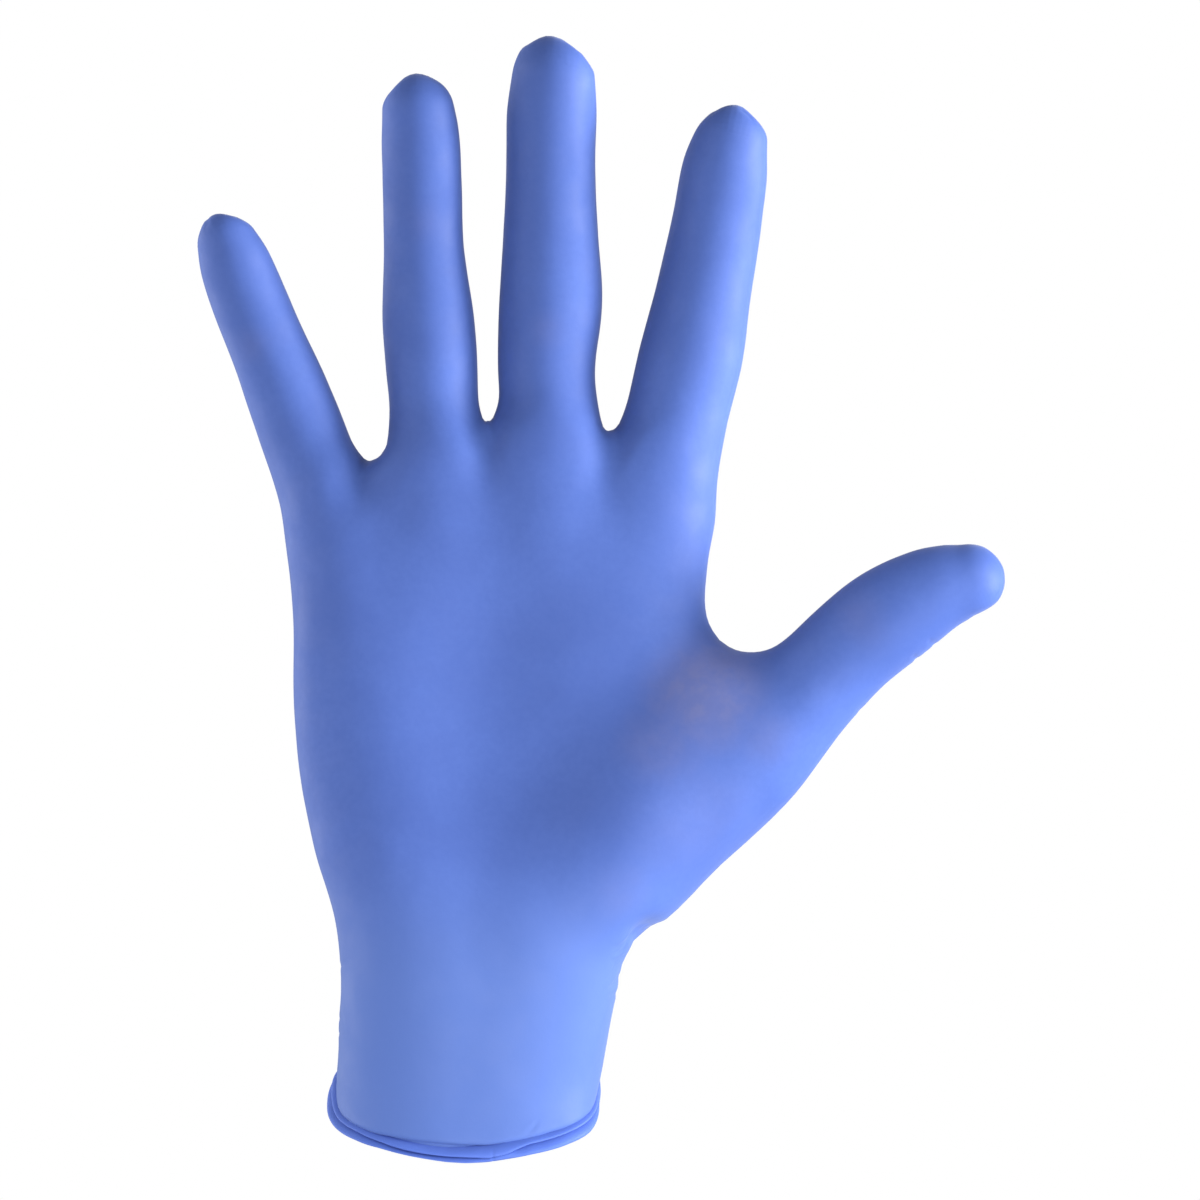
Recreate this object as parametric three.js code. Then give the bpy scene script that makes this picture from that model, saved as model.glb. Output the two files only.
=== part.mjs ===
// A disposable exam glove of thin nitrile film, shaped as an open right hand stretches it.
// Millimetres. +Z runs up the hand to the fingertips, +X to the thumb, and the palm faces -Y.
// The origin is the centre of the cuff's mouth, where the hand goes in.
// The glove is one dipped film: an outer skin, an inner skin one film thickness inside it, and the
// film's own edge rolled outwards round the mouth, all in one closed solid.
import * as THREE from "three";

// Driving dimensions
const film = 1; // thickness of the wall
const cuffLength = 26.5; // mouth to wrist
const cuffWidth = 57;
const cuffDepth = 40;
const palmLength = 112; // wrist to the webs between the fingers
const palmWidth = 90;
const palmDepth = 29;
const palmForward = 6; // from the mouth's centre to the middle of the palm, as the wrist is bent back
const fingerDepth = 0.9; // depth of a finger as a share of its width
const rimDrop = 22.2; // how much lower the mouth hangs at the palm side than at the back
const rollHeight = 3.4;
const rollThickness = 2.2; // at the little finger's side
const rollThinnest = 0.6; // at the thumb's side, where the edge is rolled tightest

// Lengths from the knuckle, or from the root of the thumb, to the tip
const littleLength = 68;
const ringLength = 92.7;
const middleLength = 100.6;
const indexLength = 87.8;
const thumbLength = 95.3;
const thumbBallLength = 54;

// Widths at the middle joint
const littleWidth = 18.2;
const ringWidth = 19.4;
const middleWidth = 22;
const indexWidth = 22;
const thumbWidth = 21.5;
const thumbBallWidth = 26;

// Fingers, thumb and the ball of the thumb: the root's place as shares of palmWidth and palmLength,
// its place to the palm side as a share of palmDepth, and the lean from +Z to the thumb in degrees.
const digits = {
  little: { x: -0.319, z: 0.9, front: 0, lean: -22.2, length: littleLength, width: littleWidth },
  ring: { x: -0.064, z: 0.9, front: 0.035, lean: -3.15, length: ringLength, width: ringWidth },
  middle: { x: 0.179, z: 0.9, front: 0.035, lean: 0.85, length: middleLength, width: middleWidth },
  index: { x: 0.447, z: 0.9, front: 0.035, lean: 10.9, length: indexLength, width: indexWidth },
  thumb: { x: 0.452, z: 0.24, front: 0.2, lean: 48, length: thumbLength, width: thumbWidth },
  thumbBall: { x: 0.19, z: 0.13, front: 0.14, lean: 42, length: thumbBallLength, width: thumbBallWidth },
};

// Sections along each digit: the place as a share of its length, then shares of its width. Side is
// the shift across the lean towards the little finger, and bend the shift towards the palm.
const fingerSections = {
  little: [
    { at: -0.35, side: 0.2, bend: 0, wide: 1.02 },
    { at: 0, side: 0.06, bend: 0, wide: 1.05 },
    { at: 0.2, side: 0.02, bend: 0, wide: 1.02 },
    { at: 0.4, side: 0, bend: 0.02, wide: 0.98 },
    { at: 0.55, side: 0, bend: 0.07, wide: 0.91 },
    { at: 0.7, side: 0, bend: 0.13, wide: 0.89 },
    { at: 0.83, side: -0.01, bend: 0.2, wide: 0.83 },
    { at: 0.905, side: -0.02, bend: 0.24, wide: 0.7 },
  ],
  ring: [
    { at: 0, side: 0, bend: 0, wide: 1 },
    { at: 0.22, side: 0.03, bend: 0, wide: 0.98 },
    { at: 0.36, side: 0.035, bend: 0.02, wide: 1 },
    { at: 0.46, side: 0.04, bend: 0.05, wide: 0.99 },
    { at: 0.6, side: 0.04, bend: 0.1, wide: 0.88 },
    { at: 0.74, side: 0.02, bend: 0.16, wide: 0.87 },
    { at: 0.86, side: 0.01, bend: 0.22, wide: 0.85 },
    { at: 0.918, side: 0.02, bend: 0.26, wide: 0.78 },
  ],
  middle: [
    { at: 0, side: 0, bend: 0, wide: 1 },
    { at: 0.2, side: -0.03, bend: 0, wide: 0.95 },
    { at: 0.3, side: 0, bend: 0, wide: 0.93 },
    { at: 0.44, side: -0.03, bend: 0.03, wide: 1 },
    { at: 0.56, side: -0.02, bend: 0.08, wide: 0.93 },
    { at: 0.7, side: -0.01, bend: 0.14, wide: 0.865 },
    { at: 0.84, side: -0.012, bend: 0.22, wide: 0.865 },
    { at: 0.915, side: -0.02, bend: 0.26, wide: 0.79 },
  ],
  index: [
    { at: 0, side: 0, bend: 0, wide: 1 },
    { at: 0.24, side: -0.01, bend: 0, wide: 0.99 },
    { at: 0.39, side: -0.035, bend: 0.02, wide: 1 },
    { at: 0.54, side: -0.035, bend: 0.07, wide: 0.915 },
    { at: 0.68, side: -0.035, bend: 0.13, wide: 0.87 },
    { at: 0.84, side: -0.015, bend: 0.22, wide: 0.825 },
    { at: 0.915, side: -0.02, bend: 0.26, wide: 0.69 },
  ],
  thumb: [
    { at: -0.07, side: 0.02, bend: 0, wide: 0.72 },
    { at: 0.1, side: 0.03, bend: 0.04, wide: 0.86 },
    { at: 0.276, side: 0.08, bend: 0.1, wide: 1.05 },
    { at: 0.453, side: 0.22, bend: 0.2, wide: 1.03 },
    { at: 0.609, side: 0.28, bend: 0.3, wide: 0.995 },
    { at: 0.732, side: 0.255, bend: 0.4, wide: 1 },
    { at: 0.848, side: 0.155, bend: 0.5, wide: 0.865 },
    { at: 0.919, side: 0, bend: 0.54, wide: 0.716 },
  ],
  thumbBall: [
    { at: 0, side: 0, bend: 0, wide: 0.84 },
    { at: 0.5, side: 0.03, bend: 0.08, wide: 1.08 },
    { at: 1, side: 0.1, bend: 0.05, wide: 0.85 },
  ],
};

// Level sections of the cuff and of the palm, from the mouth up. Up is a share of the length of
// the cuff or of the palm; left and right are shares of its width; front and back of its depth.
const cuffSections = [
  { up: -0.5, left: -0.5, right: 0.49, front: -0.5, back: 0.5, square: 2.6 },
  { up: 0, left: -0.497, right: 0.475, front: -0.5, back: 0.5, square: 2.6 },
  { up: 0.2, left: -0.497, right: 0.483, front: -0.52, back: 0.48, square: 2.6 },
  { up: 0.3, left: -0.495, right: 0.497, front: -0.53, back: 0.465, square: 2.6 },
  { up: 0.55, left: -0.487, right: 0.517, front: -0.565, back: 0.42, square: 2.6 },
  { up: 0.78, left: -0.485, right: 0.54, front: -0.6, back: 0.38, square: 2.6 },
  { up: 1, left: -0.481, right: 0.552, front: -0.63, back: 0.34, square: 2.6 },
];
const palmSections = [
  { up: 0.13, left: -0.325, right: 0.37, front: -0.7, back: 0.6, square: 2.5 },
  { up: 0.25, left: -0.364, right: 0.43, front: -0.67, back: 0.55, square: 2.5 },
  { up: 0.4, left: -0.4, right: 0.48, front: -0.58, back: 0.5, square: 2.5 },
  { up: 0.55, left: -0.415, right: 0.52, front: -0.54, back: 0.49, square: 2.6 },
  { up: 0.7, left: -0.414, right: 0.556, front: -0.52, back: 0.48, square: 2.7 },
  { up: 0.83, left: -0.412, right: 0.56, front: -0.5, back: 0.45, square: 2.7 },
  { up: 0.95, left: -0.42, right: 0.555, front: -0.45, back: 0.38, square: 2.6 },
  { up: 1.08, left: -0.45, right: 0.57, front: -0.4, back: 0.3, square: 2.5 },
];

// The palm's top edge is an arch of webs: its crown's place as shares of palmWidth and palmLength,
// its reach to each side and its fall there, the depth where it lies so high as a share of
// palmDepth, and how far a web falls to the back of the hand for each millimetre of depth.
const arch = { x: 0.134, z: 1.067, reach: 0.39, fall: 0.0555, front: -0.3, slant: 0.7 };

// Raised pads and hollows of the skin: the place and spread as shares of palmWidth and palmLength,
// the height as a share of palmDepth, and the side, -1 for the palm and 1 for the back.
const pads = [
  { name: "heel of the hand", x: -0.22, z: 0.26, wide: 0.22, tall: 0.3, height: 0.07, side: -1 },
  { name: "hollow of the palm", x: 0.04, z: 0.52, wide: 0.22, tall: 0.28, height: -0.15, side: -1 },
  { name: "pad under little finger", x: -0.33, z: 0.82, wide: 0.11, tall: 0.14, height: 0.03, side: -1 },
  { name: "pad under ring finger", x: -0.07, z: 0.84, wide: 0.11, tall: 0.14, height: 0.03, side: -1 },
  { name: "pad under middle finger", x: 0.18, z: 0.85, wide: 0.12, tall: 0.14, height: 0.03, side: -1 },
  { name: "pad under index finger", x: 0.43, z: 0.82, wide: 0.13, tall: 0.14, height: 0.03, side: -1 },
  { name: "little knuckle", x: -0.32, z: 0.76, wide: 0.09, tall: 0.08, height: 0.05, side: 1 },
  { name: "ring knuckle", x: -0.08, z: 0.81, wide: 0.09, tall: 0.08, height: 0.06, side: 1 },
  { name: "middle knuckle", x: 0.17, z: 0.83, wide: 0.1, tall: 0.08, height: 0.07, side: 1 },
  { name: "index knuckle", x: 0.42, z: 0.8, wide: 0.1, tall: 0.09, height: 0.06, side: 1 },
];

// Section of the rolled edge from the film's outer face round to its inner face: two turns of film
// with a groove between them. Out is a share of the roll's thickness and up of rollHeight.
const rollSection = [
  { out: 0.35, up: 0.99 },
  { out: 0.72, up: 0.86 },
  { out: 0.66, up: 0.66 },
  { out: 0.95, up: 0.52 },
  { out: 1, up: 0.24 },
  { out: 0.7, up: 0.04 },
  { out: 0.25, up: 0 },
];

// How far one form runs into the next.
const blends = { finger: 7, thumb: 17, thumbBall: 15, arch: 10 };

// The mesh of the skin: squares across each finger, each web and the thumb, rows along them, and
// rows over which each tip narrows.
const mesh = {
  fingerColumns: 6,
  webColumns: 2,
  palmRows: 23,
  fingerRows: { little: 12, ring: 16, middle: 17, index: 15 },
  fingerTaper: 2,
  thumbRows: [6, 16],
  thumbColumns: 15,
  thumbTaper: 4,
  rounds: 30,
};
const axisSamples = 24;
const trunkSamples = 120;
const boxMargin = 25; // beyond it a digit has no say in the skin
const padFade = 0.33; // a pad fades out over this share of palmDepth at the hand's edge

const mix = (a, b, share) => a + (b - a) * share;

function smoothUnion(a, b, reach) {
  const near = Math.max(reach - Math.abs(a - b), 0) / reach;
  return Math.min(a, b) - (near * near * reach) / 4;
}

const smoothCut = (a, b, reach) => -smoothUnion(-a, -b, reach);

// Values of a smooth curve through table rows, at evenly spaced steps from the first row to the last.
function smoothRows(rows, keys, count) {
  const curves = keys.map((key) => new THREE.SplineCurve(rows.map((row, i) => new THREE.Vector2(i, row[key]))));
  return Array.from({ length: count }, (_, k) =>
    Object.fromEntries(keys.map((key, c) => [key, curves[c].getPoint(k / (count - 1)).y])),
  );
}

// A digit as a sampled axis with half widths.
function limb(name) {
  const { x, z, front, lean, length, width } = digits[name];
  const angle = THREE.MathUtils.degToRad(lean);
  const along = new THREE.Vector3(Math.sin(angle), 0, Math.cos(angle));
  const side = new THREE.Vector3(-Math.cos(angle), 0, Math.sin(angle));
  const root = new THREE.Vector3(x * palmWidth, -front * palmDepth - palmForward, cuffLength + z * palmLength);
  const samples = smoothRows(fingerSections[name], ["at", "side", "bend", "wide"], axisSamples).map((row) => ({
    centre: root
      .clone()
      .addScaledVector(along, row.at * length)
      .addScaledVector(side, row.side * width)
      .add(new THREE.Vector3(0, -row.bend * width, 0)),
    half: (row.wide * width) / 2,
  }));
  const widest = Math.max(...samples.map((sample) => sample.half));
  const box = new THREE.Box3().setFromPoints(samples.map((sample) => sample.centre));
  return { samples, side, along, box: box.expandByScalar(widest + boxMargin) };
}

const limbs = Object.fromEntries(Object.keys(digits).map((name) => [name, limb(name)]));

// The nearest place on a limb's axis: its centre and half width there.
function nearestOn(samples, x, y, z) {
  let best = Infinity;
  let found = null;
  for (let k = 0; k + 1 < samples.length; k++) {
    const a = samples[k].centre;
    const b = samples[k + 1].centre;
    const dx = b.x - a.x;
    const dy = b.y - a.y;
    const dz = b.z - a.z;
    const share = ((x - a.x) * dx + (y - a.y) * dy + (z - a.z) * dz) / (dx * dx + dy * dy + dz * dz);
    const t = Math.min(1, Math.max(0, share));
    const ox = x - a.x - t * dx;
    const oy = y - a.y - t * dy;
    const oz = z - a.z - t * dz;
    const far = ox * ox + oy * oy + oz * oz;
    if (far < best) {
      best = far;
      found = { ox, oy, oz, half: mix(samples[k].half, samples[k + 1].half, t) };
    }
  }
  return found;
}

// Distance from a limb's skin, negative inside.
function limbField(samples, x, y, z) {
  const { ox, oy, oz, half } = nearestOn(samples, x, y, z);
  const deep = oy / fingerDepth;
  const far = Math.max(Math.hypot(ox, oz, deep), 1e-6);
  const slope = Math.hypot(ox, oz, deep / fingerDepth) / far;
  return (far - half) / slope;
}

const trunk = smoothRows(
  [
    ...cuffSections.map((row) => ({
      z: row.up * cuffLength,
      left: row.left * cuffWidth,
      right: row.right * cuffWidth,
      front: row.front * cuffDepth,
      back: row.back * cuffDepth,
      square: row.square,
    })),
    ...palmSections.map((row) => ({
      z: cuffLength + row.up * palmLength,
      left: row.left * palmWidth,
      right: row.right * palmWidth,
      front: row.front * palmDepth - palmForward,
      back: row.back * palmDepth - palmForward,
      square: row.square,
    })),
  ],
  ["z", "left", "right", "front", "back", "square"],
  trunkSamples,
);

// The cuff's and palm's level section at a height: centre, half sizes and squareness.
function trunkAt(z) {
  let k = 0;
  while (k < trunk.length - 2 && trunk[k + 1].z < z) k++;
  const a = trunk[k];
  const b = trunk[k + 1];
  const t = Math.min(1, Math.max(0, (z - a.z) / (b.z - a.z)));
  const left = mix(a.left, b.left, t);
  const right = mix(a.right, b.right, t);
  const front = mix(a.front, b.front, t);
  const back = mix(a.back, b.back, t);
  return {
    x: (left + right) / 2,
    y: (front + back) / 2,
    halfWidth: (right - left) / 2,
    halfDepth: (back - front) / 2,
    square: mix(a.square, b.square, t),
  };
}

const archAt = (x, y) => {
  const off = (x / palmWidth - arch.x) / arch.reach;
  const crown = cuffLength + palmLength * (arch.z - arch.fall * off * off);
  return crown - arch.slant * (y + palmForward - arch.front * palmDepth);
};

// Distance from the skin of the cuff and palm, whose top edge is the arch of webs.
function trunkField(x, y, z) {
  const s = trunkAt(z);
  const u = Math.abs(x - s.x) / s.halfWidth;
  const v = Math.abs(y - s.y) / s.halfDepth;
  const n = s.square;
  const q = Math.max((u ** n + v ** n) ** (1 / n), 1e-3);
  const slope = Math.hypot((u / q) ** (n - 1) / s.halfWidth, (v / q) ** (n - 1) / s.halfDepth);
  const above = (z - archAt(x, y)) / Math.hypot(1, arch.slant);
  return smoothCut((q - 1) / slope, above, blends.arch);
}

// Height of the pads and hollows over a point of the skin.
function padHeight(x, y, z) {
  const middle = trunkAt(z).y;
  return pads.reduce((sum, pad) => {
    const u = (x / palmWidth - pad.x) / pad.wide;
    const v = ((z - cuffLength) / palmLength - pad.z) / pad.tall;
    const facing = THREE.MathUtils.smoothstep(pad.side * (y - middle), 0, padFade * palmDepth);
    return sum + pad.height * palmDepth * facing * Math.exp(-u * u - v * v);
  }, 0);
}

// Distance from the whole hand's skin, negative inside.
function skinField(x, y, z) {
  let field = trunkField(x, y, z);
  for (const name in limbs) {
    const { samples, box } = limbs[name];
    const inside = x > box.min.x && x < box.max.x && z > box.min.z && z < box.max.z;
    if (!inside) continue;
    const reach = blends[name] || blends.finger;
    field = smoothUnion(field, limbField(samples, x, y, z), reach);
  }
  return field - padHeight(x, y, z);
}

// The skin's field at a point and its outward normal, from four samples round the point.
const corners = [
  [1, 1, 1],
  [1, -1, -1],
  [-1, 1, -1],
  [-1, -1, 1],
];
const sampleStep = 0.05;

function skinAt(p) {
  const normal = new THREE.Vector3();
  let field = 0;
  for (const [x, y, z] of corners) {
    const value = skinField(p.x + x * sampleStep, p.y + y * sampleStep, p.z + z * sampleStep);
    field += value / corners.length;
    normal.add(new THREE.Vector3(x, y, z).multiplyScalar(value));
  }
  return { normal: normal.normalize(), field };
}

// Height of the rolled edge's underside, which lies in a plane that leans down to the palm side.
const rimAt = (y) => (rimDrop * y) / cuffDepth;

// Squares of the skin on one lattice, seen from the palm: the palm and cuff, a strip up for each
// finger, and a strip to the right for the thumb.
const fingerNames = ["little", "ring", "middle", "index"];
const pitch = mesh.fingerColumns + mesh.webColumns;
const columns = fingerNames.length * pitch - mesh.webColumns;
const [thumbLow, thumbHigh] = mesh.thumbRows;

// Faces of a strip as lists of [across, along]: rows of squares that narrow over the last few rows,
// with a triangle at each end of those.
function stripFaces(width, length, taper) {
  const faces = [];
  for (let row = 0; row < length; row++) {
    const low = Math.max(0, taper - (length - row));
    const high = Math.max(0, taper - (length - row - 1));
    for (let i = high; i < width - high; i++) {
      faces.push([[i, row], [i + 1, row], [i + 1, row + 1], [i, row + 1]]);
    }
    if (high > low) {
      faces.push([[low, row], [high, row], [high, row + 1]]);
      faces.push([[width - high, row], [width - low, row], [width - high, row + 1]]);
    }
  }
  return faces;
}

function latticeFaces() {
  const palm = stripFaces(columns, mesh.palmRows, 0);
  const fingers = fingerNames.flatMap((name, f) =>
    stripFaces(mesh.fingerColumns, mesh.fingerRows[name], mesh.fingerTaper).map((face) =>
      face.map(([across, along]) => [f * pitch + across, mesh.palmRows + along]),
    ),
  );
  const thumb = stripFaces(thumbHigh - thumbLow, mesh.thumbColumns, mesh.thumbTaper).map((face) =>
    face.map(([across, along]) => [columns + along, thumbHigh - across]),
  );
  return [...palm, ...fingers, ...thumb];
}

// A first place for a digit's vertex: its share of the way round from the far edge, its row out of
// all the rows, how many of those narrow to the tip, and the sheet it is on.
function onDigit(name, from, across, row, rows, taper, sheet) {
  const { samples, side, along } = limbs[name];
  const straight = rows - taper;
  const place = mix(from, 1, Math.min(row / straight, 1)) * (samples.length - 1);
  const k = Math.min(Math.floor(place), samples.length - 2);
  const half = mix(samples[k].half, samples[k + 1].half, place - k);
  const past = Math.max(row - straight, 0) / taper;
  const turn = across * Math.PI;
  return samples[k].centre
    .clone()
    .lerp(samples[k + 1].centre, place - k)
    .addScaledVector(along, half * past)
    .addScaledVector(side, half * Math.cos(turn))
    .add(new THREE.Vector3(0, sheet * half * fingerDepth * Math.sin(turn), 0));
}

const rootShare = { finger: 0.13, thumb: 0.33 }; // share of a digit's axis that lies in the palm
const leastDepth = 0.5; // of a first place over the palm's middle plane, as a share of its half depth

// A first place for each vertex of the lattice, near the skin.
function firstPlace(i, j, sheet) {
  const { palmRows, fingerColumns, thumbColumns } = mesh;
  if (i > columns) {
    const across = 1 - (j - thumbLow) / (thumbHigh - thumbLow);
    return onDigit("thumb", rootShare.thumb, across, i - columns, thumbColumns, mesh.thumbTaper, sheet);
  }
  if (j >= palmRows) {
    const f = Math.min(Math.floor(i / pitch), fingerNames.length - 1);
    const across = i - f * pitch;
    if (across > fingerColumns) {
      const near = firstPlace(f * pitch + fingerColumns, j, sheet);
      const next = firstPlace((f + 1) * pitch, j, sheet);
      return near.lerp(next, (across - fingerColumns) / mesh.webColumns);
    }
    const name = fingerNames[f];
    const rows = mesh.fingerRows[name];
    const turn = across / fingerColumns;
    return onDigit(name, rootShare.finger, turn, j - palmRows, rows, mesh.fingerTaper, sheet);
  }
  const top = firstPlace(i, palmRows, sheet);
  const share = j / palmRows;
  const z = mix(rimAt(0) + rollHeight, top.z, share);
  const s = trunkAt(z);
  const turn = (i / columns) * Math.PI;
  const x = mix(s.x - s.halfWidth * Math.cos(turn), top.x, share);
  const u = Math.min(1, Math.abs(x - s.x) / s.halfWidth);
  const v = Math.max((1 - u ** s.square) ** (1 / s.square), leastDepth);
  return new THREE.Vector3(x, s.y + sheet * v * s.halfDepth, z);
}

// The skin's vertices and faces. The palm's sheet and the back's share the vertices of the hand's
// outline, and the mouth's row stays open.
function skinLattice() {
  const cells = latticeFaces();
  const uses = new Map();
  for (const cell of cells) {
    cell.forEach((corner, k) => {
      const edge = [corner.join(), cell[(k + 1) % cell.length].join()].sort().join(" ");
      uses.set(edge, (uses.get(edge) || 0) + 1);
    });
  }
  const outline = new Set();
  for (const [edge, count] of uses) {
    const ends = edge.split(" ");
    const atMouth = ends.every((key) => key.endsWith(",0"));
    if (count === 1 && !atMouth) ends.forEach((key) => outline.add(key));
  }
  const index = new Map();
  const vertices = [];
  const vertexOf = (i, j, sheet) => {
    const place = outline.has(`${i},${j}`) ? 0 : sheet;
    const key = `${i},${j},${place}`;
    if (!index.has(key)) {
      index.set(key, vertices.length);
      vertices.push({ point: firstPlace(i, j, place), mouth: j === 0, near: new Set() });
    }
    return index.get(key);
  };
  const faces = [];
  for (const sheet of [-1, 1]) {
    for (const cell of cells) {
      const face = cell.map(([i, j]) => vertexOf(i, j, sheet));
      faces.push(sheet < 0 ? face : face.reverse());
    }
  }
  for (const face of faces) {
    face.forEach((v, k) => {
      const next = face[(k + 1) % face.length];
      vertices[v].near.add(next);
      vertices[next].near.add(v);
    });
  }
  const mouth = [];
  for (let i = 0; i <= columns; i++) mouth.push(vertexOf(i, 0, -1));
  for (let i = columns - 1; i > 0; i--) mouth.push(vertexOf(i, 0, 1));
  return { vertices, faces, mouth };
}

const largestStep = 6; // of a vertex on its way to the skin
const leastLevel = 0.3; // keeps a mouth vertex's step short where the skin leans
const settleSteps = 4;
const slideShare = 0.6;

// Moves a vertex onto the skin, along the skin's normal; a vertex of the mouth stays at its height.
function settle(vertex, steps) {
  const p = vertex.point;
  for (let k = 0; k < steps; k++) {
    const { normal, field } = skinAt(p);
    if (vertex.mouth) normal.z = 0;
    const reach = THREE.MathUtils.clamp(field, -largestStep, largestStep);
    p.addScaledVector(normal, -reach / Math.max(normal.lengthSq(), leastLevel));
    if (vertex.mouth) p.z = rimAt(p.y) + rollHeight;
    vertex.normal = normal.normalize();
  }
}

// Evens out the vertices over the skin: each slides along it towards the middle of its neighbours.
function relax(vertices) {
  for (const vertex of vertices) settle(vertex, settleSteps);
  for (let round = 0; round < mesh.rounds; round++) {
    const slides = vertices.map(({ point, normal, near }) => {
      const slide = new THREE.Vector3();
      near.forEach((v) => slide.add(vertices[v].point));
      return slide.divideScalar(near.size).sub(point).projectOnPlane(normal);
    });
    vertices.forEach((vertex, v) => {
      vertex.point.addScaledVector(slides[v], slideShare);
      settle(vertex, 1);
    });
  }
  for (const vertex of vertices) settle(vertex, settleSteps);
}

// The closed solid: outer skin, rolled edge and inner skin.
function gloveGeometry() {
  const { vertices, faces: outer, mouth } = skinLattice();
  relax(vertices);
  const points = vertices.map((vertex) => vertex.point);
  const count = points.length;
  for (const { point, normal, mouth: atMouth } of vertices) {
    const inner = point.clone().addScaledVector(normal, -film);
    if (atMouth) inner.z = rimAt(inner.y);
    points.push(inner);
  }
  const inner = outer.map((face) => face.map((v) => v + count).reverse());
  const faces = [...outer, ...inner];
  const rings = [mouth];
  for (const row of rollSection) {
    rings.push(
      mouth.map((v) => {
        const p = vertices[v].point;
        const thick = mix(rollThickness, rollThinnest, 0.5 + p.x / cuffWidth);
        const q = p.clone().addScaledVector(vertices[v].normal, row.out * thick);
        q.z = rimAt(q.y) + row.up * rollHeight;
        return points.push(q) - 1;
      }),
    );
  }
  rings.push(mouth.map((v) => v + count));
  for (let r = 0; r + 1 < rings.length; r++) {
    mouth.forEach((_, k) => {
      const next = (k + 1) % mouth.length;
      faces.push([rings[r][next], rings[r][k], rings[r + 1][k], rings[r + 1][next]]);
    });
  }
  const position = new THREE.Float32BufferAttribute(points.flatMap((p) => p.toArray()), 3);
  const geometry = new THREE.BufferGeometry().setAttribute("position", position);
  const triangles = faces.flatMap(([a, b, c, d]) => (d === undefined ? [a, b, c] : [a, b, c, a, c, d]));
  geometry.setIndex(triangles);
  geometry.computeVertexNormals();
  return geometry;
}

const nitrile = new THREE.MeshStandardMaterial({ color: 0x5f7fd8, roughness: 0.5, metalness: 0 });
const glove = new THREE.Mesh(gloveGeometry(), nitrile);
glove.name = "glove";

const part = new THREE.Group();
part.add(glove);

export default part;
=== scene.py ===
import math

import bmesh
import bpy
import numpy as np
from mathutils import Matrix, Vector, noise


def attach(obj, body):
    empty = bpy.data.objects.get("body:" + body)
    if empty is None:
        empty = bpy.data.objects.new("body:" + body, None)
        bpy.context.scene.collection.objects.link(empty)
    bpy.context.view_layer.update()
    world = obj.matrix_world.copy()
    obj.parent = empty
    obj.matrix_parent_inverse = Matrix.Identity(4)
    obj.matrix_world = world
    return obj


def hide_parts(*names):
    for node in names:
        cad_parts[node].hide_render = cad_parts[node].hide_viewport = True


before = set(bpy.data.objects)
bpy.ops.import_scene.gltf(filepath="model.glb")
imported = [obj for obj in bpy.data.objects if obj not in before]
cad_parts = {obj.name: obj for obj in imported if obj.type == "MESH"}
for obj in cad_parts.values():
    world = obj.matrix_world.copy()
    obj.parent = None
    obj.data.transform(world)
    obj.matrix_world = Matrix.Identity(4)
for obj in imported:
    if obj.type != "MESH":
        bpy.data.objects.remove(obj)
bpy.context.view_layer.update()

MM = 0.001

# Lengths in metres
ROLL_HEIGHT = 0.0034  # of the solid's rolled edge, over the plane of the mouth
ROLL_SLACK = 2e-5  # by which a face may lie lower and still belong to the film
SAME_POINT = 1e-6  # distance at which two points of the solid are one
PALM_SIDE = -0.01  # the points in front of this y tell how the plane of the mouth slopes
FILM = 0.0003  # thickness of the film as shown

# The camera and its picture
PIXEL = 0.0002135  # metres that a pixel of the photograph shows of the glove
PHOTO_SIDE = 1200  # pixels
ORIGIN_PIXEL = (469.5, 1105)  # where the photograph shows the frame's origin
CAMERA_DISTANCE = 2.5  # metres
SENSOR = 36  # millimetres

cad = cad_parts["glove"]


def new_object(name, data):
    made = bpy.data.objects.new(name, data)
    bpy.context.scene.collection.objects.link(made)
    return made


def smooth_object(name, mesh):
    for polygon in mesh.polygons:
        polygon.use_smooth = True
    return new_object(name, mesh)


def smoothstep(value, low, high):
    t = np.clip((value - low) / (high - low), 0, 1)
    return t * t * (3 - 2 * t)


def rim_slope():
    """Rise of the mouth's plane for each metre to the back: the plane goes through the origin."""
    points = np.array([v.co for v in cad.data.vertices])
    front = points[points[:, 1] < PALM_SIDE]
    return (front[:, 2] / front[:, 1]).max()


SLOPE = rim_slope()


def outer_skin():
    """The solid's outer skin as quads: every face that the fingertip reaches above the rolled edge."""
    bm = bmesh.new()
    bm.from_mesh(cad.data)
    bmesh.ops.remove_doubles(bm, verts=bm.verts, dist=SAME_POINT)
    bm.verts.ensure_lookup_table()
    bm.faces.ensure_lookup_table()
    tip = max(bm.verts, key=lambda v: v.co.z)
    lowest = ROLL_HEIGHT - ROLL_SLACK

    def above(face):
        return all(v.co.z - SLOPE * v.co.y > lowest for v in face.verts)

    found = set(tip.link_faces)
    queue = list(found)
    while queue:
        face = queue.pop()
        for edge in face.edges:
            for other in edge.link_faces:
                if other not in found and above(other):
                    found.add(other)
                    queue.append(other)
    bmesh.ops.delete(bm, geom=[f for f in bm.faces if f not in found], context="FACES")
    bmesh.ops.join_triangles(
        bm, faces=bm.faces[:], angle_face_threshold=math.pi, angle_shape_threshold=math.pi
    )
    mesh = bpy.data.meshes.new("skin")
    bm.to_mesh(mesh)
    bm.free()
    return mesh


def coordinates(mesh):
    co = np.empty(len(mesh.vertices) * 3, np.float32)
    mesh.vertices.foreach_get("co", co)
    return co.reshape(-1, 3).astype(float)


def set_coordinates(mesh, co):
    mesh.vertices.foreach_set("co", np.asarray(co, np.float32).ravel())
    mesh.update()


def evaluated_mesh(obj):
    depsgraph = bpy.context.evaluated_depsgraph_get()
    return bpy.data.meshes.new_from_object(obj.evaluated_get(depsgraph))


CAGE_ROUNDS = 4  # rounds that bring a subdivided surface back onto its mesh's vertices


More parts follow.
